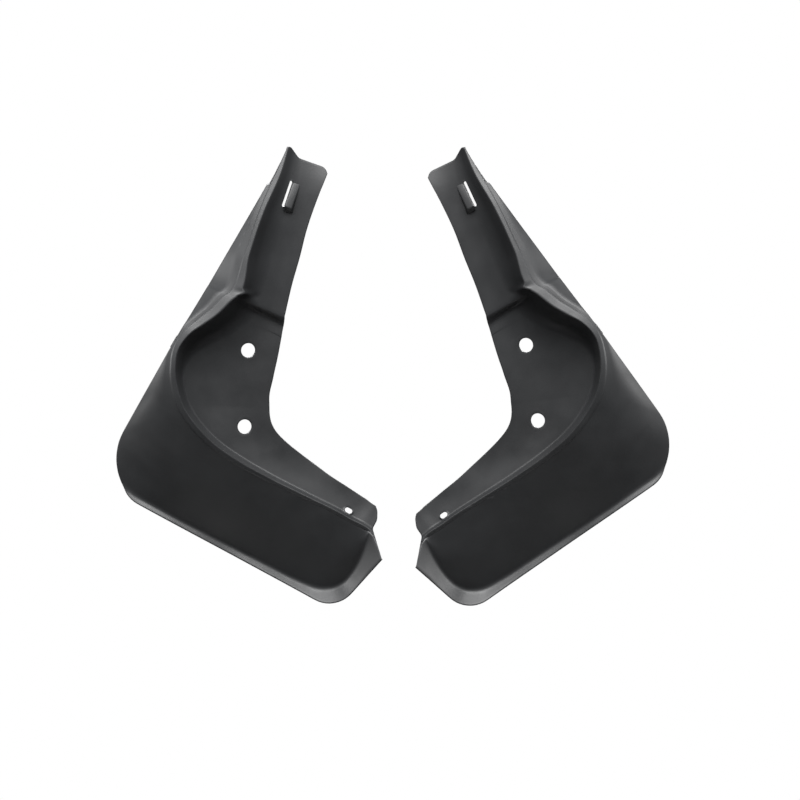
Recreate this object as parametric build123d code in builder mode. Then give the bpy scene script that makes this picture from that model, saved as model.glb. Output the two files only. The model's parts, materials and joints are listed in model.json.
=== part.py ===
from build123d import *
import math
import os
from typing import NamedTuple

# A handed pair of wheel-arch mud flaps, each one thin moulding.
# X is across the pair, Z is up, and the show face looks along -Y.
# Each flap is laid out flat first: x across, y up, and z is the height towards the show side.
# The layout's origin is the centre of the upper bolt hole.

WALL = 2.8                      # moulding thickness
PAIR_SPACING = (193.3, 3.6)     # right flap's upper bolt hole from the left flap's, across and up
RIGHT_TURN = 6.25               # the right flap lies turned by this much, degrees
FLANGE_SLOPE = (-0.20, 0.10)    # rise of the flange plane per mm across and per mm up

BOLT_D = 10.0                   # two fixing holes to the wheel arch
LOWER_BOLT = (-2.7, -53.3)      # lower hole's centre from the upper one
TAB_SLOT_L, TAB_SLOT_W = 5.4, 3.4       # small oblong hole in the end tab
TAB_SLOT_TURN = -28.0
TAB_HOLE = (69.5, -112.2)
TAB_HOLE_Z = -19.0              # height of the tab there

HOOD_L, HOOD_W, HOOD_RISE = 18.0, 5.4, 4.6      # raised clip hood on the upper arm
HOOD_FRONT, HOOD_SIDE = 4.2, 1.5                # how far its lower end and its side slope out
HOOD_SKIN = 1.6
HOOD_CENTRE = (30.9, 107.8)
HOOD_Z = 10.6                                   # the flange's height under the hood
HOOD_DOWN = -109.0                              # the way the hood rises, degrees
SLIT_L, SLIT_W = 19.0, 2.2                      # open slit beside the hood

TOOTH = [(-5.5, 45.5), (-1.2, 42.4), (-2.0, 40.9), (-7.0, 38.5)]      # nib where the ridge meets the shoulder
TOOTH_Z, TOOTH_H = 20.0, 7.4

CUT_DEPTH = 200.0               # longer than any depth in the part


class Station(NamedTuple):
    """One section across the moulding, from the flange's edge over the rim to the lip."""
    crest: tuple        # rim's inner edge, across and up
    inward: float       # direction from the rim to the flange edge, degrees
    outward: float      # direction from the rim to the panel's edge, degrees
    reach: float        # rim to flange edge
    foot: float         # rim to the foot of the wall
    rim: float          # width of the rim's land
    edge_lift: float    # flange edge above the flange plane
    foot_lift: float    # wall foot above the flange plane
    crest_z: float      # height of the rim
    fall: float         # panel's fall per mm going outward
    valley: float       # rim to the valley line
    lip: float          # rim to the lip's edge
    lip_rise: float     # lip's rise per mm going outward


UPPER_ARM = [
    Station((29.5, 147.0), -26.6, 153.4, 36, 5.0, 3.0, 2.0, 1.0, 14.0, 0.60, 8, 14, -0.60),
    Station((23.0, 123.9), -17.0, 156.0, 34, 7.0, 3.6, 6.0, 5.0, 19.0, 0.65, 10, 18, -0.65),
    Station((11.1, 95.9), -17.0, 160.0, 35, 8.0, 3.0, 7.0, 7.0, 23.5, 0.70, 11, 22, -0.70),
    Station((1.3, 66.5), -16.0, 161.0, 36, 8.5, 3.2, 7.0, 7.0, 26.0, 0.75, 15, 30, -0.75),
    Station((-7.1, 37.8), -21.0, 159.0, 39, 8.5, 6.5, 7.0, 7.0, 27.5, 0.80, 16, 32, -0.80),
]
MAIN = [
    Station((-9.9, 35.0), -27.5, 152.5, 41, 9.5, 6.5, 0.0, 0.0, 27.5, 0.80, 16, 31, -0.80),
    Station((-21.1, 24.5), -19.5, 147.0, 50, 12.0, 6.0, 0.0, 0.0, 27.5, 0.80, 14, 28, -0.80),
    Station((-30.9, 17.5), -18.0, 147.0, 58, 12.5, 5.4, 0.0, 0.0, 27.5, 0.80, 13, 26, -0.80),
    Station((-40.0, 11.2), -16.4, 151.0, 66, 10.5, 4.4, 0.0, 0.0, 27.5, 0.80, 12, 24, -0.80),
    Station((-47.7, 0.7), -12.6, 163.0, 71, 6.0, 3.6, 0.0, 0.0, 27.0, 0.78, 12, 22, -0.78),
    Station((-49.8, -13.3), -8.5, 180.0, 70, 2.6, 3.6, 0.0, 0.0, 26.0, 0.75, 16, 30, -0.75),
    Station((-48.4, -25.9), -5.0, 193.0, 67, 2.2, 4.0, 0.0, 0.0, 24.0, 0.70, 25, 42, -0.70),
    Station((-44.2, -39.2), -0.7, 205.0, 62, 2.2, 4.0, 0.0, 0.0, 21.0, 0.64, 42, 64, -0.64),
    Station((-35.8, -51.8), 2.4, 217.0, 55, 2.2, 4.0, 0.0, 0.0, 17.0, 0.58, 65, 78, 0.40),
    Station((-23.9, -64.4), 8.5, 228.0, 46, 2.4, 3.6, 0.0, 0.0, 12.0, 0.54, 61, 72, 0.45),
    Station((-6.4, -77.0), 18.0, 235.0, 37, 2.4, 3.0, 0.3, 1.0, 5.0, 0.52, 56, 68, 0.50),
    Station((16.0, -89.6), 28.0, 239.0, 30, 2.0, 2.4, 0.5, 3.0, -3.0, 0.50, 55, 67, 0.52),
    Station((41.2, -102.2), 31.6, 242.0, 25, 1.8, 2.0, 2.4, 5.0, -9.0, 0.46, 55, 68, 0.55),
    Station((63.6, -113.4), 45.0, 248.0, 20, 1.5, 2.0, 3.0, 6.5, -14.0, 0.42, 55, 69, 0.55),
    Station((72.0, -118.3), 52.0, 255.0, 20, 1.5, 2.0, 3.5, 7.0, -16.0, 0.40, 50, 68, 0.35),
    Station((79.0, -121.8), 58.0, 262.0, 20, 1.5, 2.0, 4.0, 8.0, -17.6, 0.38, 30, 62, -0.08),
    Station((84.6, -125.3), 72.0, 271.0, 21, 1.5, 2.0, 4.0, 8.5, -19.0, 0.36, 6, 56, -0.06),
    Station((95.1, -130.9), 102.4, 282.4, 27, 1.5, 2.0, 4.0, 9.0, -14.0, 0.30, 6, 62, 0.12),
]

# The outline, going round from the tip of the ridge.
TIP = (28.2, 144.0)
TOP_HOLLOW = (35.2, 134.1)
TOP_CORNER = (56.8, 126.6)
UPPER_EDGE = [(54.8, 121.6), (47.2, 102.2), (40.7, 83.6), (35.7, 64.4), (30.3, 45.6), (25.4, 24.5)]
STEP_EDGE = (24.2, 17.0)
LOWER_EDGE = [(20.6, -2.8), (17.1, -18.9), (14.3, -35.5), (19.3, -57.0), (50.6, -83.0)]
TAB_TOP = (70.6, -96.6)
TAB_CORNER = (89.9, -109.3)
TAB_SIDE = (89.7, -119.0)
NOTCH = (86.4, -125.0)
END_CORNER = (93.0, -146.3)
BOTTOM_RIGHT = (60.0, -183.2)
BOTTOM_LEFT = (-84.0, -104.5)
LEFT_CORNER = (-100.2, -76.5)
PANEL_TOP = (13.0, 115.4)
PANEL_END = (15.0, 115.8)
RIDGE_SIDE = (18.9, 123.2)
CORNER_RADII = {
    TIP: 2.2, TOP_HOLLOW: 4.0, TOP_CORNER: 4.0, TAB_CORNER: 5.0, TAB_SIDE: 4.0,
    BOTTOM_RIGHT: 19.0, BOTTOM_LEFT: 22.0, LEFT_CORNER: 40.0,
}


def flange_z(x, y):
    return FLANGE_SLOPE[0] * x + FLANGE_SLOPE[1] * y


def on_station(station, distance):
    """The place at a distance from the rim, negative towards the flange edge."""
    heading = station.outward if distance > 0 else station.inward
    turn = math.radians(heading)
    x, y = station.crest
    return x + abs(distance) * math.cos(turn), y + abs(distance) * math.sin(turn)


def meet(p, p_dir, q, q_dir):
    """Where two lines of the section cross."""
    det = p_dir[0] * q_dir[1] - p_dir[1] * q_dir[0]
    along = ((q[0] - p[0]) * q_dir[1] - (q[1] - p[1]) * q_dir[0]) / det
    return p[0] + along * p_dir[0], p[1] + along * p_dir[1]


def back_line(p, q):
    """The line one wall thickness behind the stretch from p to q."""
    length = math.dist(p, q)
    run, rise = (q[0] - p[0]) / length, (q[1] - p[1]) / length
    return (p[0] + WALL * rise, p[1] - WALL * run), (run, rise)


def front_profile(s):
    """The show side of a section, as distance from the rim and height."""
    edge_z = flange_z(*on_station(s, -s.reach)) + s.edge_lift
    foot_z = flange_z(*on_station(s, -s.foot)) + s.foot_lift
    valley_z = s.crest_z - s.fall * (s.valley - s.rim)
    middle = (s.rim + s.valley) / 2
    middle_z = (s.crest_z + valley_z) / 2 + 0.05 * (s.valley - s.rim)
    lip_z = valley_z + s.lip_rise * (s.lip - s.valley)
    return [(-s.reach, edge_z), (-s.foot, foot_z), (0, s.crest_z), (s.rim, s.crest_z),
            (middle, middle_z), (s.valley, valley_z), (s.lip, lip_z)]


def section(s):
    """The closed wire of a section: the show side, then the back side one wall behind it."""
    front = front_profile(s)
    edge, foot, crest, land, middle, valley, lip = front
    lines = [back_line(*pair) for pair in ((edge, foot), (foot, crest), (land, middle),
                                           (middle, valley), (valley, lip))]
    back = [meet(*lines[i], *lines[i + 1]) for i in range(4)]
    first = (lines[0][0])
    last = back_line(lip, (2 * lip[0] - valley[0], 2 * lip[1] - valley[1]))[0]
    loop = front + [last] + back[::-1] + [first]
    points = [(*on_station(s, distance), z) for distance, z in loop]
    return Wire.make_polygon([Vector(*p) for p in points])


def halfway(a, b, c, d):
    """The section midway between b and c on a smooth run through all four."""
    def blend(values):
        w, x, y, z = values
        return (9 * (x + y) - w - z) / 16
    crest = tuple(blend([s.crest[k] for s in (a, b, c, d)]) for k in (0, 1))
    return Station(crest, *(blend(column) for column in list(zip(a, b, c, d))[1:]))


def refined(stations):
    """The same run with a section added between each two."""
    padded = [stations[0], *stations, stations[-1]]
    run = [stations[0]]
    for i in range(len(stations) - 1):
        run += [halfway(*padded[i:i + 4]), padded[i + 2]]
    return run


def hole_plane(x, y, z, slope):
    """A plane square to a sheet that rises by slope, facing out of its show side."""
    return Plane(origin=(x, y, z), z_dir=(-slope[0], -slope[1], 1))


def on_hood(along, across, rise):
    """A place on the hood: distance down it, distance across it and height over the flange."""
    turn = math.radians(HOOD_DOWN)
    x = HOOD_CENTRE[0] + along * math.cos(turn) - across * math.sin(turn)
    y = HOOD_CENTRE[1] + along * math.sin(turn) + across * math.cos(turn)
    return Vector(x, y, HOOD_Z + rise)


upper_wires = [section(s) for s in refined(UPPER_ARM)]
main_wires = [section(s) for s in refined(MAIN)]
hood_turn = math.radians(HOOD_DOWN)
hood_side = Plane(
    origin=(*HOOD_CENTRE, HOOD_Z),
    x_dir=(math.cos(hood_turn), math.sin(hood_turn), 0),
    z_dir=(math.sin(hood_turn), -math.cos(hood_turn), 0),
)

with BuildPart() as layout:
    # The shell: upper arm, the step down, and everything below it.
    add(Solid.make_loft(upper_wires, ruled=True))
    add(Solid.make_loft([upper_wires[-1], main_wires[0]], ruled=True))
    add(Solid.make_loft(main_wires, ruled=True))

    # Trim to the outline.
    with BuildSketch(Plane.XY.offset(-CUT_DEPTH / 2)) as outline:
        with BuildLine():
            Polyline(TIP, TOP_HOLLOW, TOP_CORNER, UPPER_EDGE[0])
            Spline(*UPPER_EDGE)
            Line(UPPER_EDGE[-1], STEP_EDGE)
            Spline(STEP_EDGE, *LOWER_EDGE, TAB_TOP)
            Polyline(TAB_TOP, TAB_CORNER, TAB_SIDE, NOTCH, END_CORNER, BOTTOM_RIGHT, BOTTOM_LEFT,
                     LEFT_CORNER, PANEL_TOP, PANEL_END, RIDGE_SIDE, TIP)
        make_face()
        for corner, radius in CORNER_RADII.items():
            fillet(outline.vertices().sort_by_distance(corner)[0], radius)
    extrude(amount=CUT_DEPTH, mode=Mode.INTERSECT)

    # Clip hood, sloping out at its lower end and its side, with its hollow and the slit beside it.
    half, edge = HOOD_L / 2, HOOD_W / 2
    low_corners = [(-half, -edge), (-half, edge), (half + HOOD_FRONT, edge + HOOD_SIDE),
                   (half + HOOD_FRONT, -edge)]
    top_corners = [(-half, -edge), (-half, edge), (half, edge), (half, -edge)]
    top_rises = [0.4, 0.4, HOOD_RISE, HOOD_RISE]
    base_wire = Wire.make_polygon([on_hood(*corner, -1) for corner in low_corners])
    top_wire = Wire.make_polygon([on_hood(*c, rise) for c, rise in zip(top_corners, top_rises)])
    add(Solid.make_loft([base_wire, top_wire], ruled=True))
    with BuildSketch(hood_side.offset(HOOD_SKIN / 2)):
        inner_end = half - HOOD_SKIN
        Polygon((-inner_end, -8), (inner_end, -8), (inner_end, HOOD_RISE - HOOD_SKIN),
                (-inner_end, -HOOD_SKIN), align=None)
    extrude(amount=(HOOD_W - HOOD_SKIN) / 2, both=True, mode=Mode.SUBTRACT)
    with BuildSketch(hood_side.offset((HOOD_W + SLIT_W) / 2)):
        Rectangle(SLIT_L, 2 * HOOD_RISE + 8)
    extrude(amount=SLIT_W / 2, both=True, mode=Mode.SUBTRACT)

    # Nib on the ridge.
    with BuildSketch(Plane.XY.offset(TOOTH_Z)):
        Polygon(*TOOTH, align=None)
    extrude(amount=TOOTH_H)

    # Fixing holes, square to the flange.
    for bolt in ((0, 0), LOWER_BOLT):
        with BuildSketch(hole_plane(*bolt, flange_z(*bolt), FLANGE_SLOPE)):
            Circle(BOLT_D / 2)
        extrude(amount=10, both=True, mode=Mode.SUBTRACT)
    with BuildSketch(Plane.XY.offset(TAB_HOLE_Z)):
        with Locations(TAB_HOLE):
            SlotOverall(TAB_SLOT_L, TAB_SLOT_W, rotation=TAB_SLOT_TURN)
    extrude(amount=10, both=True, mode=Mode.SUBTRACT)

# Stand both flaps up, and put the datum under the middle of the pair.
left_standing = layout.part.rotate(Axis.X, 90)
right_standing = mirror(layout.part, about=Plane.YZ).rotate(Axis.Z, RIGHT_TURN)
right_standing = right_standing.moved(Location((*PAIR_SPACING, 0))).rotate(Axis.X, 90)
pair = Compound([left_standing, right_standing]).bounding_box()
datum = Location((-pair.center().X, -pair.center().Y, -pair.min.Z))

with BuildPart() as left_flap:
    add(left_standing.moved(datum))
left_flap.part.label = "left_flap"

with BuildPart() as right_flap:
    add(right_standing.moved(datum))
right_flap.part.label = "right_flap"

os.makedirs("parts", exist_ok=True)
for flap in (left_flap, right_flap):
    export_step(flap.part, f"parts/{flap.part.label}.step")
    print(flap.part.label, flap.part.is_valid, flap.part.volume, flap.part.bounding_box())
print("datum", datum)
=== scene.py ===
import json
import math

import bmesh
import bpy
import numpy as np
from mathutils import Matrix, Vector


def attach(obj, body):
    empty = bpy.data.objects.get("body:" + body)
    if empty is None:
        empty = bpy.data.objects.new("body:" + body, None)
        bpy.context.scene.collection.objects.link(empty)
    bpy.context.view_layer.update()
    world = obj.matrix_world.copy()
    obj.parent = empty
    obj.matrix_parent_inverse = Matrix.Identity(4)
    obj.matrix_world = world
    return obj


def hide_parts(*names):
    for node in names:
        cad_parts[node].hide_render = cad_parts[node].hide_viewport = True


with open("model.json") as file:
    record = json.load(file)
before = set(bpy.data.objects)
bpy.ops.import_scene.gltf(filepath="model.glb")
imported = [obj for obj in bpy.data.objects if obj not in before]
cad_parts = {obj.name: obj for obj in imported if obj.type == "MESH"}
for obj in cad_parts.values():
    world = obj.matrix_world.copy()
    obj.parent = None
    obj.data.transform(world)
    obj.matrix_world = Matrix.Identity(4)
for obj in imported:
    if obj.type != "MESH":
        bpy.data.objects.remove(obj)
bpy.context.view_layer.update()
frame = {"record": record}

MM = 0.001

# Each flap is laid out flat in millimetres: x across, y up, z the height towards the show side.
# The layout's origin is the centre of the upper bolt hole, as in the CAD part.
WALL = 2.8
PAIR_SPACING = (193.3, 3.6)
RIGHT_TURN = 6.25
FLANGE_SLOPE = (-0.20, 0.10)
LOWER_BOLT = (-2.7, -53.3)
BOLT_R = 5.0
DEEPEST = -39.3                 # the back's lowest point, as in the CAD
TAB_HOLE = (69.5, -112.2, -19.0)
TAB_SLOT_L, TAB_SLOT_W, TAB_SLOT_TURN = 5.4, 3.4, -28.0
EDGE_R = 0.7                    # rounding of every free edge

# crest x, crest y, inward deg, outward deg, reach, foot, rim, edge lift, foot lift, crest z,
# fall, valley, lip
UPPER_ARM = np.array([
    (29.5, 147.0, -26.6, 153.4, 36, 5.0, 3.0, 2.0, 1.0, 14.0, 0.60, 8, 14),
    (23.0, 123.9, -17.0, 156.0, 34, 7.0, 3.6, 6.0, 5.0, 19.0, 0.65, 10, 18),
    (11.1, 95.9, -17.0, 160.0, 35, 8.0, 3.0, 6.6, 6.6, 23.5, 0.70, 11, 22),
    (1.3, 66.5, -16.0, 161.0, 36, 8.5, 3.2, 5.8, 5.8, 26.0, 0.75, 15, 30),
    (-7.4, 37.0, -22.6, 158.5, 39, 8.5, 6.5, 5.0, 5.0, 27.5, 0.80, 16, 32),
])
MAIN = np.array([
    (-9.8, 35.1, -29.0, 153.5, 41, 9.5, 6.5, 0.0, 0.0, 27.5, 0.80, 16, 31),
    (-21.1, 24.5, -19.5, 147.0, 50, 12.0, 6.0, 0.0, 0.0, 27.5, 0.80, 14, 28),
    (-30.9, 17.5, -18.0, 147.0, 58, 12.5, 5.4, 0.0, 0.0, 27.5, 0.80, 13, 26),
    (-40.0, 11.2, -16.4, 151.0, 66, 10.5, 4.4, 0.0, 0.0, 27.5, 0.80, 12, 24),
    (-47.7, 0.7, -12.6, 163.0, 71, 6.0, 3.6, 0.0, 0.0, 27.0, 0.78, 12, 22),
    (-49.8, -13.3, -8.5, 180.0, 70, 2.6, 3.6, 0.0, 0.0, 26.0, 0.75, 16, 30),
    (-48.4, -25.9, -5.0, 193.0, 67, 2.2, 4.0, 0.0, 0.0, 24.0, 0.70, 25, 42),
    (-44.2, -39.2, -0.7, 205.0, 62, 2.2, 4.0, 0.0, 0.0, 21.0, 0.64, 42, 64),
    (-35.8, -51.8, 2.4, 217.0, 55, 2.2, 4.0, 0.0, 0.0, 17.0, 0.58, 60, 76),
    (-23.9, -64.4, 8.5, 228.0, 46, 2.4, 3.6, 0.0, 0.0, 12.0, 0.54, 61, 70),
    (-6.4, -77.0, 18.0, 235.0, 37, 2.4, 3.0, 0.3, 1.0, 5.0, 0.52, 57, 65),
    (16.0, -89.6, 28.0, 239.0, 30, 2.0, 2.4, 0.5, 3.0, -3.0, 0.50, 57, 65),
    (41.2, -102.2, 31.6, 242.0, 25, 1.8, 2.0, 2.4, 5.0, -9.0, 0.46, 58, 66),
    (63.6, -113.4, 45.0, 248.0, 20, 1.5, 2.0, 3.0, 6.5, -14.0, 0.42, 56, 67),
    (72.0, -118.3, 52.0, 255.0, 20, 1.5, 2.0, 3.5, 7.0, -16.0, 0.40, 51, 66),
    (79.0, -121.8, 58.0, 262.0, 20, 1.5, 2.0, 4.0, 8.0, -17.6, 0.38, 34, 60),
    (84.6, -125.3, 72.0, 271.0, 21, 1.5, 2.0, 4.0, 8.5, -19.0, 0.36, 10, 56),
    (95.1, -130.9, 102.4, 282.4, 27, 1.5, 2.0, 4.0, 9.0, -22.0, 0.30, 4, 62),
])
STEP_AT = len(UPPER_ARM) - 1                    # the riser runs from this station to the next
LAST = len(UPPER_ARM) + len(MAIN) - 1
TOP_BLEND, END_BLEND = 2.5, LAST - 3.0          # where the end trims stop bending the rows

# The outline, as open curves: the inner edge, the outer edge, and both ends.
TIP, TOP_HOLLOW, TOP_CORNER = (28.2, 144.0), (35.2, 134.1), (56.8, 126.6)
INNER_EDGE = [(54.8, 121.6), (47.2, 102.2), (40.7, 83.6), (35.7, 64.4), (30.3, 45.6), (25.4, 24.5)]
INNER_LOWER = [(24.2, 17.0), (20.6, -2.8), (17.1, -18.9), (14.3, -35.5), (19.3, -57.0),
               (50.6, -83.0), (70.6, -96.6)]
TAB_CORNER, TAB_SIDE, NOTCH = (89.9, -109.3), (89.7, -119.0), (86.4, -125.0)
END_CORNER, BOTTOM_RIGHT, BOTTOM_LEFT = (93.0, -146.3), (60.0, -183.2), (-84.0, -104.5)
LEFT_CORNER, PANEL_TOP = (-100.2, -76.5), (13.0, 115.4)
PANEL_END, RIDGE_SIDE = (15.0, 115.8), (18.9, 123.2)
# Where the panel turns up into the lip, from the left corner round to the end of the rim.
VALLEY_LINE = [(-106.0, -66.0), (-99.0, -81.0), (-91.5, -92.5), (-81.0, -101.3), (-70.0, -107.6),
               (-34.4, -126.6), (14.6, -152.4), (35.6, -163.0), (48.0, -167.6), (58.6, -167.0),
               (66.4, -162.6), (73.0, -154.4), (78.4, -144.0), (81.8, -135.0), (84.8, -124.0),
               (88.0, -114.0)]


def spline(points, per_span=14):
    """A smooth curve through the points."""
    points = np.array(points, float)
    start, end = 2 * points[0] - points[1], 2 * points[-1] - points[-2]
    padded = np.vstack([start, points, end])
    out = []
    for i in range(len(points) - 1):
        out += [catmull(padded[i:i + 4], f) for f in np.arange(per_span) / per_span]
    return np.array(out + [points[-1]])


def catmull(four, f):
    a, b, c, d = four
    return 0.5 * (2 * b + (c - a) * f + (2 * a - 5 * b + 4 * c - d) * f**2
                  + (3 * b - a - 3 * c + d) * f**3)


def rounded(before, corner, after, radius, steps=10):
    """The arc that rounds a corner."""
    before, corner, after = (np.array(p, float) for p in (before, corner, after))
    u, v = before - corner, after - corner
    u, v = u / np.linalg.norm(u), v / np.linalg.norm(v)
    half = math.acos(np.clip(u @ v, -1, 1)) / 2
    middle = (u + v) / np.linalg.norm(u + v)
    centre = corner + middle * radius / math.sin(half)
    a, b = corner + u * radius / math.tan(half) - centre, corner + v * radius / math.tan(half) - centre
    sweep = math.pi - 2 * half
    out = []
    for f in np.linspace(0, 1, steps + 1):
        out.append(centre + (math.sin((1 - f) * sweep) * a + math.sin(f * sweep) * b) / math.sin(sweep))
    return np.array(out)


def extended(curve, length=60.0):
    """The curve with a straight run added at both ends."""
    first, last = curve[0] - curve[1], curve[-1] - curve[-2]
    return np.vstack([curve[0] + first / np.linalg.norm(first) * length, curve,
                      curve[-1] + last / np.linalg.norm(last) * length])


def outline_curves():
    inner = np.vstack([spline(INNER_EDGE), spline(INNER_LOWER), [TAB_CORNER]])
    outer = np.vstack([
        [TIP, RIDGE_SIDE, PANEL_END, PANEL_TOP],
        rounded(PANEL_TOP, LEFT_CORNER, BOTTOM_LEFT, 40.0),
        rounded(LEFT_CORNER, BOTTOM_LEFT, BOTTOM_RIGHT, 22.0),
        rounded(BOTTOM_LEFT, BOTTOM_RIGHT, END_CORNER, 21.0),
        [END_CORNER],
    ])
    tab = np.vstack([rounded(INNER_LOWER[-1], TAB_CORNER, TAB_SIDE, 8.5),
                     rounded(TAB_CORNER, TAB_SIDE, NOTCH, 8.0), [NOTCH]])
    top = np.vstack([rounded(RIDGE_SIDE, TIP, TOP_HOLLOW, 2.2),
                     rounded(TIP, TOP_HOLLOW, TOP_CORNER, 4.0),
                     rounded(TOP_HOLLOW, TOP_CORNER, INNER_EDGE[0], 6.0)])
    whole = np.vstack([inner[:-1], tab, outer[:0:-1], top])
    return inner, outer, whole


def ray_hits(origin, angle, curve):
    """How far each ray goes before it meets the curve."""
    p = np.asarray(origin)[:, None, :]
    d = np.stack([np.cos(angle), np.sin(angle)], -1)[:, None, :]
    a, e = curve[:-1][None], np.diff(curve, axis=0)[None]
    det = d[..., 0] * e[..., 1] - d[..., 1] * e[..., 0]
    det = np.where(abs(det) < 1e-9, 1e-9, det)
    w = a - p
    along = (w[..., 0] * e[..., 1] - w[..., 1] * e[..., 0]) / det
    part = (w[..., 0] * d[..., 1] - w[..., 1] * d[..., 0]) / det
    good = (part >= -1e-6) & (part <= 1 + 1e-6) & (along > 0)
    return np.where(good, along, 1e6).min(1)


def inside(points, polygon):
    x, y = points[..., 0], points[..., 1]
    hit = np.zeros(x.shape, bool)
    for (x0, y0), (x1, y1) in zip(polygon, np.roll(polygon, -1, 0)):
        crosses = (y0 > y) != (y1 > y)
        rise = y1 - y0 if abs(y1 - y0) > 1e-12 else 1e-12
        hit ^= crosses & (x < (x1 - x0) * (y - y0) / rise + x0)
    return hit


ALL = np.vstack([UPPER_ARM, MAIN])
LIP_RISES = [18, 20, 21.5], [1.1, 1.0, 0.9]     # the lip's rise over the panel, by station
LIP_SOFT = [12, 18, 21], [1.0, 1.6, 2.0]        # and half the width of its turn
LIP_FROM = 11.0                                 # the lip starts from this station
VALLEYS = None                                  # set below, once the stations can be read
REACH, FOOT, LIFTS, VALLEY = 4, 5, slice(7, 9), 11          # the stations' columns


def tangents(table, where):
    """Slopes for a smooth curve through unevenly spaced rows."""
    gaps = np.diff(where)[:, None]
    chords = np.diff(table, axis=0) / gaps
    inner = (chords[:-1] * gaps[1:] + chords[1:] * gaps[:-1]) / (gaps[:-1] + gaps[1:])
    return np.vstack([chords[:1], inner, chords[-1:]])


ALONG = np.concatenate([[0], np.cumsum(np.hypot(*np.diff(ALL[:, :2], axis=0).T))])
SLOPES = tangents(ALL, ALONG)
SLOPES[:STEP_AT + 1, LIFTS] = tangents(UPPER_ARM, ALONG[:STEP_AT + 1])[:, LIFTS]
SLOPES[STEP_AT + 1:, LIFTS] = tangents(MAIN, ALONG[STEP_AT + 1:])[:, LIFTS]


def stations(t):
    """Every station value at each t, smooth along the part, with the riser eased in and out."""
    t = np.clip(np.asarray(t, float), 0, LAST)
    cell = np.clip(t.astype(int), 0, LAST - 1)
    f = (t - cell)[..., None]
    gap = (ALONG[cell + 1] - ALONG[cell])[..., None]
    a, b, da, db = ALL[cell], ALL[cell + 1], SLOPES[cell] * gap, SLOPES[cell + 1] * gap
    values = ((2 * f**3 - 3 * f**2 + 1) * a + (f**3 - 2 * f**2 + f) * da
              + (3 * f**2 - 2 * f**3) * b + (f**3 - f**2) * db)
    riser = np.clip((t - STEP_AT), 0, 1)[..., None]
    eased = riser * riser * (3 - 2 * riser)
    step = (1 - eased) * ALL[STEP_AT] + eased * ALL[STEP_AT + 1]
    on_riser = ((t > STEP_AT) & (t < STEP_AT + 1))[..., None]
    values[..., LIFTS] = np.where(on_riser, step[..., LIFTS], values[..., LIFTS])
    if VALLEYS is not None:
        found = np.interp(t, *VALLEYS)
        blend = np.clip((t - LIP_FROM) / 2, 0, 1)
        blend = blend * blend * (3 - 2 * blend)
        values[..., VALLEY] = (1 - blend) * values[..., VALLEY] + blend * found
    return values


def valley_distances():
    """How far out the valley line lies along the stations where the panel has a lip."""
    t = np.linspace(LIP_FROM, LAST, 500)
    v = stations(t)
    found = ray_hits(v[:, :2], np.radians(v[:, 3]), spline(VALLEY_LINE))
    found = np.where(found > 500, np.where(t > LAST - 4, 0, 70), found)
    gone = np.nonzero((found < 4) & (t > LAST - 4))[0]
    if len(gone):
        found[gone[0]:] = 0
    return t, found


def plan(t, s, values=None):
    """The place in the layout's plane of section distance s at station t."""
    v = stations(t) if values is None else values
    angle = np.radians(np.where(s > 0, v[..., 3], v[..., 2]))
    reach = abs(s)
    return np.stack([v[..., 0] + reach * np.cos(angle), v[..., 1] + reach * np.sin(angle)], -1)


def flange_z(p):
    return FLANGE_SLOPE[0] * p[..., 0] + FLANGE_SLOPE[1] * p[..., 1]


def front_vertices(v, tilt=0.0):
    """The corners of the show side's section: distances and heights."""
    reach, foot, rim, edge_lift, foot_lift, crest_z, fall, valley, lip = np.moveaxis(
        v[..., 4:], -1, 0)
    valley = np.maximum(valley, rim + 2.5)
    lip = np.maximum(lip, valley + 3.0)
    edge = flange_z(plan(None, -reach, v)) + edge_lift
    base = flange_z(plan(None, -foot, v)) + foot_lift
    low = crest_z - fall * (valley - rim)
    middle = (rim + valley) / 2
    middle_z = (crest_z + low) / 2 + 0.05 * (valley - rim)
    s = np.stack([-reach, -foot, 0 * foot, rim, middle, valley, lip], -1)
    land = crest_z - tilt * rim
    z = np.stack([edge, base, crest_z, land, middle_z, low, low - fall * (lip - valley)], -1)
    return s, z


def lip_height(t, s, p, shift=0.0):
    """How far the lip stands above the panel carried on straight: a soft turn, then a steady rise."""
    line = spline(VALLEY_LINE, 6)
    a, e = line[:-1], np.diff(line, axis=0)
    flat = p.reshape(-1, 2)
    best, signed = np.full(len(flat), 1e9), np.zeros(len(flat))
    for start, run in zip(a, e):
        w = flat - start
        f = np.clip((w @ run) / (run @ run), 0, 1)
        away = np.hypot(*(w - f[:, None] * run).T)
        side = np.sign(run[1] * w[:, 0] - run[0] * w[:, 1])
        nearer = away < best
        best = np.where(nearer, away, best)
        signed = np.where(nearer, -side * away, signed)
    beyond = -signed.reshape(s.shape) - shift
    beyond = np.minimum(beyond, s - 1.0)
    rise = np.interp(t, LIP_RISES[0], LIP_RISES[1])
    soft = np.interp(t, LIP_SOFT[0], LIP_SOFT[1])
    turned = np.clip(beyond + soft, 0, 2 * soft)
    return rise * np.where(beyond > soft, beyond, turned**2 / (4 * soft))


def grooved(s, z):
    """The show side's corners with the shallow groove between the rim and the panel."""
    land, land_z = s[..., 3:4], z[..., 3:4]
    fall = (z[..., 4:5] - land_z) / (s[..., 4:5] - land)
    fade = np.clip((s[..., 5:6] - land) / 14, 0.05, 1)
    width = GROOVE_W * fade
    groove = [land + width / 2, land + width]
    groove_z = [land_z - GROOVE_D * fade, land_z + fall * width - PANEL_DROP * fade]
    return (np.concatenate([s[..., :4], *groove, s[..., 4:]], -1),
            np.concatenate([z[..., :4], *groove_z, z[..., 4:]], -1))


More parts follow.
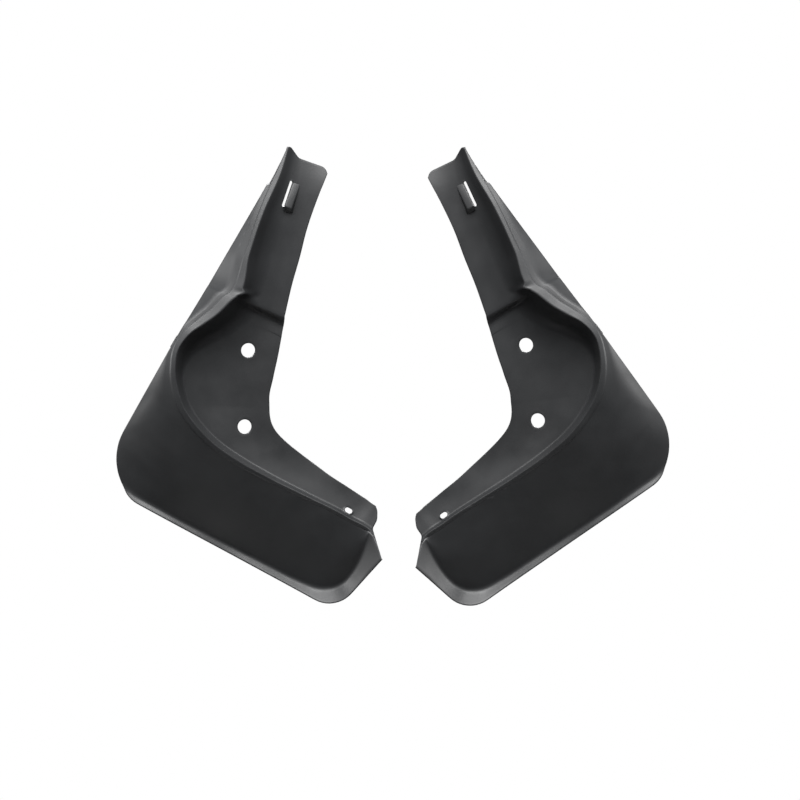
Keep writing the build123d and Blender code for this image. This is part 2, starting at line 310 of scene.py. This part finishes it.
def back_vertices(s, z):
    """The corners of the back's section, one wall behind the show side."""
    starts, ends = [0, 1, 3, 4, 5], [1, 2, 4, 5, 6]
    run, up = s[..., ends] - s[..., starts], z[..., ends] - z[..., starts]
    length = np.hypot(run, up)
    run, up = run / length, up / length
    ps, pz = s[..., starts] + WALL * up, z[..., starts] - WALL * run
    det = run[..., :-1] * up[..., 1:] - up[..., :-1] * run[..., 1:]
    det = np.where(abs(det) < 1e-6, 1e-6, det)
    along = ((ps[..., 1:] - ps[..., :-1]) * up[..., 1:] - (pz[..., 1:] - pz[..., :-1]) * run[..., 1:]) / det
    # Nearly straight corners sit halfway between the two offset starts.
    flat = abs(det) < 0.02
    ms = np.where(flat, ps[..., 1:], ps[..., :-1] + along * run[..., :-1])
    mz = np.where(flat, pz[..., 1:], pz[..., :-1] + along * up[..., :-1])
    last = length[..., -1:]
    s_all = np.concatenate([ps[..., :1], ms, ps[..., -1:] + run[..., -1:] * last], -1)
    z_all = np.concatenate([pz[..., :1], mz, pz[..., -1:] + up[..., -1:] * last], -1)
    return s_all, z_all


def height(s, vs, vz, radii):
    """The section's height at s: straight runs, with each corner eased over its two radii."""
    slope = np.diff(vz, axis=-1) / np.maximum(np.diff(vs, axis=-1), 1e-6)
    z = vz[..., 0] + slope[..., 0] * (s - vs[..., 0])
    for k in range(1, vs.shape[-1] - 1):
        before, after = radii[k]
        if k == 1:
            before = np.minimum(before, 0.9 * (vs[..., 2] - vs[..., 1]))
        rb = np.maximum(np.minimum(before, 0.48 * (vs[..., k] - vs[..., k - 1])), 1e-4)
        ra = np.maximum(np.minimum(after, 0.48 * (vs[..., k + 1] - vs[..., k])), 1e-4)
        x = s - vs[..., k]
        bend = slope[..., k] - slope[..., k - 1]
        inner = np.clip(rb + x, 0, rb + ra)
        u = inner / (rb + np.sqrt(rb**2 + (ra - rb) * inner))
        ease = bend * ra * u**2
        z = z + np.where(x >= ra, bend * x, ease)
    return z


def spread(count, start, end):
    """Fractions from 0 to 1, with cells at the two ends that much smaller."""
    x = (np.arange(count) + 0.5) / count
    size = 1 - (1 - start) * np.exp(-x / 0.14) - (1 - end) * np.exp(-(1 - x) / 0.14)
    return np.concatenate([[0], np.cumsum(size) / size.sum()])


def base_rows():
    rows = []
    for i in range(LAST):
        if i == STEP_AT:
            count = 12
        else:
            a, b = stations(np.array([i, i + 1.0]))[:, :2]
            count = max(6, round(math.dist(a, b) / 1.4))
        rows += [i + f / count for f in range(count)]
    return np.array(rows + [LAST])


STRIPS = [spread(44, 0.2, 0.3), spread(16, 0.7, 0.4), spread(7, 0.6, 0.6), spread(8, 1.0, 1.0),
          spread(16, 0.5, 1.0), spread(18, 1.0, 0.3), spread(9, 0.5, 0.8)]
GROOVE_W, GROOVE_D, PANEL_DROP = 1.5, 0.8, 0.4
LAND_TILT = 0.30                                # the rim's land slopes outward
FLANGE_DISH = 0.035                             # the flange is dished by this part of its width
# How far each corner's easing reaches before and after it.
FRONT_RADII = [None, (8.0, 4.0), (0.8, 0.6), (0.5, 0.35), (0.4, 0.4), (0.5, 0.8), (12.0, 14.0),
               (2.6, 2.2), None]
BACK_RADII = [None, (5.0, 4.0), (1.5, 1.5), (12.0, 14.0), (2.5, 2.5), None]
NIB_AT, NIB_OUT, NIB_SPAN = 3.85, 3.6, 0.09
HOOD_L, HOOD_W, HOOD_RISE = 18.0, 5.4, 4.6
HOOD_CENTRE, HOOD_DOWN = (30.9, 107.8), -109.0
HOOD_FRONT, HOOD_SIDE, HOOD_SUNK = 4.2, 1.5, 1.0      # its slopes, and how deep it is set in
SLOT_L, SLOT_W = 19.0, 2.2


VALLEYS = valley_distances()


class Sheet:
    """One side of the moulding as a grid of points: rows along the rim, columns across it."""

    def __init__(self, back=False):
        self.back = back
        self.inner, self.outer, self.whole = outline_curves()
        self.fine = np.linspace(0, LAST, 1500)
        v = stations(self.fine)
        crest = v[:, :2]
        self.reach_in = ray_hits(crest, np.radians(v[:, 2]), extended(self.inner))
        self.reach_out = ray_hits(crest, np.radians(v[:, 3]), extended(self.outer))
        self.grid()

    def section(self, t):
        """The section's corners at t."""
        v = stations(t)
        if self.back:
            return v, *back_vertices(*front_vertices(v))
        s, z = front_vertices(v, LAND_TILT)
        nib = NIB_OUT * np.clip(1 - abs(np.asarray(t) - NIB_AT) / NIB_SPAN, 0, 1)
        s[..., 2] -= nib
        return v, *grooved(s, z)

    def limits(self, t):
        """The free edges' distances, less the edge rounding."""
        inner = np.interp(t, self.fine, self.reach_in) - EDGE_R
        outer = np.interp(t, self.fine, self.reach_out) - EDGE_R
        if self.back:
            v = stations(t)
            s, z = front_vertices(v)
            for side in ("in", "out"):
                edge = -inner if side == "in" else outer
                h = 0.05
                a, b = (height(edge + d, *grooved(s, z), FRONT_RADII) for d in (-h, h))
                slope = (b - a) / (2 * h)
                shift = WALL * slope / np.sqrt(1 + slope**2)
                shift = np.clip(shift, -WALL, WALL)
                if side == "in":
                    inner = inner - np.maximum(shift, 0)
                else:
                    outer = outer + np.where(outer > 5.5, np.minimum(shift, 0), 0)
        return np.maximum(inner, 1.5), np.maximum(outer, 0.35)

    def columns(self, t):
        """Section distances of the strips' borders at t."""
        v, s, z = self.section(t)
        inner, outer = self.limits(t)
        if self.back:
            foot = np.maximum(s[..., 1], -0.9 * inner)
            crest = np.minimum(s[..., 2], 0.6 * outer)
            valley = np.minimum(s[..., 4], crest + 0.82 * (outer - crest))
            land, start = (crest + f * (valley - crest) for f in (0.08, 0.16))
            middle = (start + valley) / 2
        else:
            foot = np.maximum(s[..., 1], -0.9 * inner)
            crest = s[..., 2]
            land = np.minimum(s[..., 3], 0.5 * outer)
            start = np.minimum(s[..., 5], land + 0.4 * (outer - land))
            valley = np.minimum(s[..., 7], start + 0.82 * (outer - start))
            middle = (start + valley) / 2
        return [-inner, foot, crest, land, start, middle, valley, outer]

    def s_of(self, t, strip, f):
        borders = self.columns(t)
        return (1 - f) * borders[strip] + f * borders[strip + 1]

    def trims(self, strip, f):
        """The first and last t at which this column is inside the outline."""
        out = []
        for low, high, step in ((0.0, TOP_BLEND, 1), (END_BLEND, float(LAST), -1)):
            t = np.linspace(low, high, 700)
            s = self.s_of(t, strip, f)
            ok = inside(plan(t, s), self.whole)
            if step == 1:
                bad = np.nonzero(~ok)[0]
                out.append(t[min(bad[-1] + 1, 699)] if len(bad) else low)
            else:
                bad = np.nonzero(~ok)[0]
                out.append(t[max(bad[0] - 1, 0)] if len(bad) else high)
        return out

    def grid(self):
        base = base_rows()
        pairs = [(k, f) for k, strip in enumerate(STRIPS) for f in strip[:-1]]
        pairs.append((len(STRIPS) - 1, 1.0))
        t_all, s_all = [], []
        for strip, f in pairs:
            top, end = self.trims(strip, f)
            t = base.copy()
            upper, lower = base < TOP_BLEND, base > END_BLEND
            t[upper] = top + (TOP_BLEND - top) * base[upper] / TOP_BLEND
            t[lower] = END_BLEND + (end - END_BLEND) * (base[lower] - END_BLEND) / (LAST - END_BLEND)
            t_all.append(t)
            s_all.append(self.s_of(t, strip, f))
        self.t, self.s = np.array(t_all).T, np.array(s_all).T
        v, vs, vz = self.section(self.t)
        z = height(self.s, vs, vz, BACK_RADII if self.back else FRONT_RADII)
        place = plan(None, self.s, v)
        z = z + lip_height(self.t, self.s, place, 0.7 if self.back else 0.0)
        reach, foot = v[..., REACH], v[..., FOOT]
        f = np.clip((-self.s - foot) / (reach - foot), 0, 1)
        dish = FLANGE_DISH * np.interp(self.t, [12, 15], [1.0, 0.3])
        z = z - 16 * dish * (reach - foot) * (f * (1 - f))**2
        if self.back:
            z = np.maximum(z, DEEPEST)
        self.p = np.dstack([place, z])
        along, across = np.gradient(self.p, axis=0), np.gradient(self.p, axis=1)
        n = np.cross(across, along)
        n /= np.linalg.norm(n, axis=2, keepdims=True)
        n *= np.sign(np.median(n[..., 2])) * (-1 if self.back else 1)
        self.n = n


def edge_rings(sheet, side):
    """Points that round off a free edge of one sheet, from the face outwards."""
    p = sheet.p
    if side == "inner":
        base, out, n = p[:, 0], p[:, 0] - p[:, 1], sheet.n[:, 0]
    elif side == "outer":
        base, out, n = p[:, -1], p[:, -1] - p[:, -2], sheet.n[:, -1]
    out = out / np.maximum(np.linalg.norm(out, axis=1, keepdims=True), 1e-9)
    rings = []
    for angle in np.radians([30, 60, 90]):
        rings.append(base + EDGE_R * (out * math.sin(angle) - n * (1 - math.cos(angle))))
    return rings


def flap_mesh():
    front, back = Sheet(), Sheet(back=True)
    outer = edge_rings(front, "outer") + edge_rings(back, "outer")[::-1]
    inner = edge_rings(back, "inner") + edge_rings(front, "inner")[::-1]
    # One closed loop of points for each row: front, outer edge, back, inner edge.
    loops = np.concatenate([front.p, np.array(outer).transpose(1, 0, 2), back.p[:, ::-1],
                            np.array(inner).transpose(1, 0, 2)], axis=1)
    columns = front.p.shape[1]
    bm = bmesh.new()
    verts = [[bm.verts.new(point) for point in loop] for loop in loops]
    sides = {"front": [], "back": []}
    count = loops.shape[1]
    for a, b in zip(verts, verts[1:]):
        for j in range(count):
            k = (j + 1) % count
            face = bm.faces.new((a[j], a[k], b[k], b[j]))
            if j < columns - 1:
                sides["front"].append(face)
            elif columns + 5 < j < 2 * columns + 5:
                sides["back"].append(face)
    for row in (verts[0], verts[-1]):
        cap_end(bm, row, columns)
    return bm, sides, front


def cap_end(bm, row, columns):
    front, outer = row[:columns], row[columns:columns + 6]
    back, inner = row[columns + 6:2 * columns + 6][::-1], row[2 * columns + 6:]
    for j in range(columns - 1):
        bm.faces.new((front[j], front[j + 1], back[j + 1], back[j]))
    bm.faces.new([front[-1], *outer, back[-1]])
    bm.faces.new([back[0], *inner, front[0]])


def punch(bm, sides, centre, normal, radius, clear, length=0.0, heading=0.0, soft=0.45):
    """Cut a round or long hole with a softened rim through both sheets, square to the flange."""
    normal = Vector(normal).normalized()
    across = Vector((math.cos(heading), math.sin(heading), 0))
    across = (across - normal * across.dot(normal)).normalized()
    up = normal.cross(across)
    segments = 56
    half = max(length / 2 - radius, 0)

    def off_axis(point):
        o = point - centre
        o = o - normal * o.dot(normal)
        run = max(-half, min(half, o.dot(across)))
        return (o - across * run).length
    rings = []
    for side, sign in (("front", 1), ("back", -1)):
        near = []
        for face in sides[side]:
            if not face.is_valid:
                continue
            if all(off_axis(v.co) < clear for v in face.verts):
                near.append(face)
        gone = set(near)
        rim = [e for f in near for e in f.edges if any(g not in gone for g in e.link_faces)]
        rim = list(dict.fromkeys(rim))
        spots = {v for e in rim for v in e.verts}
        rows = np.array([(*(v.co - centre), 1) for v in spots])
        local = np.array([[o @ np.array(axis) for axis in (across, up, normal)] for o in rows[:, :3]])
        fit = np.linalg.lstsq(np.column_stack([local[:, :2], rows[:, 3]]), local[:, 2], rcond=None)[0]
        bmesh.ops.delete(bm, geom=near, context="FACES")
        steps = []
        for angle in np.radians([0, 30, 60, 90]):
            r = radius + soft * (1 - math.sin(angle))
            ring = []
            for k in range(segments):
                a = 2 * math.pi * (k + 0.5) / segments
                x, y = r * math.cos(a) + math.copysign(half, math.cos(a)), r * math.sin(a)
                depth = fit[0] * x + fit[1] * y + fit[2] - sign * soft * (1 - math.cos(angle))
                ring.append(bm.verts.new(centre + across * x + up * y + normal * depth))
            steps.append(ring)
        edges = [bm.edges.new((steps[0][k], steps[0][k - 1])) for k in range(segments)]
        bmesh.ops.triangle_fill(bm, use_beauty=True, use_dissolve=False, edges=rim + edges,
                                normal=normal * sign)
        rings.append(steps)
    chain = rings[0] + rings[1][::-1]
    for a, b in zip(chain, chain[1:]):
        for k in range(segments):
            bm.faces.new((a[k - 1], a[k], b[k], b[k - 1]))
    bmesh.ops.delete(bm, geom=[v for v in bm.verts if not v.link_faces], context="VERTS")


def surface_z(sheet, x, y):
    """The sheet's height at a place in the layout's plane."""
    flat = sheet.p.reshape(-1, 3)
    near = np.argsort(np.hypot(flat[:, 0] - x, flat[:, 1] - y))[:12]
    local = flat[near]
    fit = np.linalg.lstsq(np.column_stack([local[:, 0] - x, local[:, 1] - y, np.ones(12)]), local[:, 2],
                          rcond=None)[0]
    return fit[2]


def hood(bm, front):
    """The raised clip hood beside the slit, rising towards its lower end."""
    turn = math.radians(HOOD_DOWN)
    down = np.array([math.cos(turn), math.sin(turn)])
    side = np.array([-math.sin(turn), math.cos(turn)])
    corners = [
        (-HOOD_L / 2, -HOOD_W / 2, -0.1), (-HOOD_L / 2, HOOD_W / 2 - 0.2, 0.0),
        (HOOD_L / 2, HOOD_W / 2 - 0.3, HOOD_RISE), (HOOD_L / 2, -HOOD_W / 2, HOOD_RISE),
        (-HOOD_L / 2 - 0.6, -HOOD_W / 2, -HOOD_SUNK), (-HOOD_L / 2 - 0.6, HOOD_W / 2 + 0.2, -HOOD_SUNK),
        (HOOD_L / 2 + HOOD_FRONT, HOOD_W / 2 + HOOD_SIDE, -HOOD_SUNK),
        (HOOD_L / 2 + HOOD_FRONT, -HOOD_W / 2, -HOOD_SUNK),
    ]
    shell = bmesh.new()
    made = []
    for along, across, rise in corners:
        x, y = np.array(HOOD_CENTRE) + down * along + side * across
        made.append(shell.verts.new((x, y, surface_z(front, x, y) + rise)))
    for quad in ((0, 1, 2, 3), (7, 6, 5, 4), (0, 4, 5, 1), (1, 5, 6, 2), (2, 6, 7, 3), (3, 7, 4, 0)):
        shell.faces.new([made[i] for i in quad])
    bmesh.ops.recalc_face_normals(shell, faces=shell.faces)
    bmesh.ops.bevel(shell, geom=list(shell.edges), offset=0.7, segments=4, profile=0.5, affect="EDGES")
    mesh = bpy.data.meshes.new("hood")
    shell.to_mesh(mesh)
    bm.from_mesh(mesh)
    bpy.data.meshes.remove(mesh)


def finish_mesh(bm, name):
    bmesh.ops.remove_doubles(bm, verts=bm.verts, dist=1e-4)
    bmesh.ops.recalc_face_normals(bm, faces=bm.faces)
    for face in bm.faces:
        face.smooth = True
    mesh = bpy.data.meshes.new(name)
    bm.to_mesh(mesh)
    bm.free()
    return mesh


def place(mesh, datum, mirrored):
    """Stand a laid-out flap up in the part's frame, in metres."""
    turn = Matrix.Identity(4)
    if mirrored:
        turn = (Matrix.Translation((*PAIR_SPACING, 0)) @ Matrix.Rotation(math.radians(RIGHT_TURN), 4, "Z")
                @ Matrix.Scale(-1, 4, (1, 0, 0)))
    stand = Matrix.Rotation(math.radians(90), 4, "X")
    mesh.transform(Matrix.Translation(datum) @ Matrix.Scale(MM, 4) @ stand @ turn)
    if mirrored:
        mesh.flip_normals()
    mesh.update()


def main():
    mounts = {m["name"]: m for m in frame["record"]["mounts"]}
    between = Vector((LOWER_BOLT[0] / 2, LOWER_BOLT[1] / 2,
                      (FLANGE_SLOPE[0] * LOWER_BOLT[0] + FLANGE_SLOPE[1] * LOWER_BOLT[1]) / 2))
    datum = Vector(mounts["left_bolts"]["pos_m"]) - MM * Vector((between.x, -between.z, between.y))
    bm, sides, front = flap_mesh()
    normal = (-FLANGE_SLOPE[0], -FLANGE_SLOPE[1], 1)
    for x, y in ((0, 0), LOWER_BOLT):
        centre = Vector((x, y, FLANGE_SLOPE[0] * x + FLANGE_SLOPE[1] * y))
        punch(bm, sides, centre, normal, BOLT_R, BOLT_R + 3.2)
    punch(bm, sides, Vector(TAB_HOLE), (0, 0, 1), TAB_SLOT_W / 2, TAB_SLOT_W / 2 + 1.7, TAB_SLOT_L,
          math.radians(TAB_SLOT_TURN), 0.3)
    turn = math.radians(HOOD_DOWN)
    beside = -(HOOD_W + SLOT_W) / 2
    x, y = HOOD_CENTRE[0] - beside * math.sin(turn), HOOD_CENTRE[1] + beside * math.cos(turn)
    centre = Vector((x, y, surface_z(front, x, y)))
    punch(bm, sides, centre, normal, SLOT_W / 2, SLOT_W / 2 + 1.2, SLOT_L, turn, 0.25)
    hood(bm, front)
    layout = finish_mesh(bm, "flap_layout")
    return layout, datum


layout, datum = main()


def satin_plastic(name):
    """Black moulded plastic: fine grain, uneven sheen, and slightly paler worn edges."""
    made = bpy.data.materials.new(name)
    made.use_nodes = True
    nodes, links = made.node_tree.nodes, made.node_tree.links
    shader = nodes["Principled BSDF"]
    where = nodes.new("ShaderNodeTexCoord")

    def noise(scale, detail, roughness=0.5):
        node = nodes.new("ShaderNodeTexNoise")
        node.inputs["Scale"].default_value = scale
        node.inputs["Detail"].default_value = detail
        node.inputs["Roughness"].default_value = roughness
        links.new(where.outputs["Object"], node.inputs["Vector"])
        return node.outputs["Fac"]

    def ramp(source, stops):
        node = nodes.new("ShaderNodeValToRGB")
        links.new(source, node.inputs["Fac"])
        ends = node.color_ramp.elements
        for end, (place, value) in zip(ends, stops):
            end.position, end.color = place, value
        return node.outputs["Color"]

    def grey(value):
        return (value, value, value, 1)

    tone = ramp(noise(14, 4, 0.6), [(0.30, (0.0185, 0.0190, 0.0200, 1)),
                                    (0.72, (0.0240, 0.0250, 0.0265, 1))])
    wear = ramp(nodes.new("ShaderNodeNewGeometry").outputs["Pointiness"],
                [(0.54, grey(0)), (0.66, grey(1))])
    mix = nodes.new("ShaderNodeMix")
    mix.data_type = "RGBA"
    links.new(wear, mix.inputs["Factor"])
    links.new(tone, mix.inputs["A"])
    mix.inputs["B"].default_value = (0.042, 0.043, 0.045, 1)
    links.new(mix.outputs["Result"], shader.inputs["Base Color"])

    sheen = ramp(noise(55, 5, 0.65), [(0.30, grey(0.40)), (0.72, grey(0.52))])
    links.new(sheen, shader.inputs["Roughness"])
    shader.inputs["IOR"].default_value = 1.50
    grain = nodes.new("ShaderNodeBump")
    grain.inputs["Strength"].default_value = 0.09
    grain.inputs["Distance"].default_value = 0.0004
    links.new(noise(1500, 2, 0.5), grain.inputs["Height"])
    links.new(grain.outputs["Normal"], shader.inputs["Normal"])
    return made


material = satin_plastic("satin_moulding")

for side in ("left", "right"):
    mesh = layout.copy()
    place(mesh, datum, side == "right")
    piece = bpy.data.objects.new(f"{side}_moulding", mesh)
    bpy.context.scene.collection.objects.link(piece)
    mesh.materials.append(material)
    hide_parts(f"{side}_flap")
    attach(piece, f"{side}_flap")


def area_light(name, place, target, size, power, only=None):
    data = bpy.data.lights.new(name, "AREA")
    data.shape, data.size, data.size_y = "RECTANGLE", *size
    data.energy = power
    lamp = bpy.data.objects.new(name, data)
    lamp.location = place
    lamp.rotation_euler = (Vector(target) - Vector(place)).to_track_quat("-Z", "Y").to_euler()
    if only:
        lamp.light_linking.receiver_collection = only
    bpy.context.scene.collection.objects.link(lamp)


area_light("top_soft", (0, -0.88, 1.15), (0, 0, 0.15), (1.8, 0.8), 58)
area_light("back_soft", (0, 1.3, 1.0), (0, 0, 0.15), (1.6, 0.7), 40)
# A side light for each flap, which lights only that flap.
for name, side in (("left", -1), ("right", 1)):
    lit = bpy.data.collections.new(f"{name}_lit")
    lit.objects.link(bpy.data.objects[f"{name}_moulding"])
    area_light(f"{name}_soft", (side * 0.80, -0.18, 0.28), (side * 0.06, 0, 0.12), (0.3, 0.3), 3.8, lit)

CAMERA_FAR = 3.5
VIEW_WIDTH = 0.56
camera_data = bpy.data.cameras.new("camera")
camera_data.sensor_width = 36
camera_data.lens = 36 * CAMERA_FAR / VIEW_WIDTH
camera = bpy.data.objects.new("camera", camera_data)
camera.location = (0.0050, -CAMERA_FAR, 0.1453)
camera.rotation_euler = (math.radians(90), 0, 0)
bpy.context.scene.collection.objects.link(camera)
bpy.context.scene.camera = camera

world = bpy.data.worlds.new("studio")
world.use_nodes = True
bpy.context.scene.world = world
nodes, links = world.node_tree.nodes, world.node_tree.links
background = nodes["Background"]
seen = nodes.new("ShaderNodeBackground")
seen.inputs["Color"].default_value = (1, 1, 1, 1)
seen.inputs["Strength"].default_value = 1.0
background.inputs["Color"].default_value = (1, 1, 1, 1)
background.inputs["Strength"].default_value = 0.02
path, mix = nodes.new("ShaderNodeLightPath"), nodes.new("ShaderNodeMixShader")
links.new(path.outputs["Is Camera Ray"], mix.inputs["Fac"])
links.new(background.outputs[0], mix.inputs[1])
links.new(seen.outputs[0], mix.inputs[2])
links.new(mix.outputs[0], nodes["World Output"].inputs["Surface"])
bpy.context.scene.view_settings.view_transform = "Standard"

# Set low and kept small, so that it throws no light up at the dark panel.
FLOOR_Z, FLOOR_HALF = -1.2, 0.5
floor_mesh = bpy.data.meshes.new("floor")
bm = bmesh.new()
bmesh.ops.create_grid(bm, x_segments=4, y_segments=4, size=FLOOR_HALF)
bm.to_mesh(floor_mesh)
floor = bpy.data.objects.new("floor", floor_mesh)
floor.location = (0, 0, FLOOR_Z)
bpy.context.scene.collection.objects.link(floor)
floor_material = bpy.data.materials.new("pale_floor")
floor_material.use_nodes = True
floor_mesh.materials.append(floor_material)
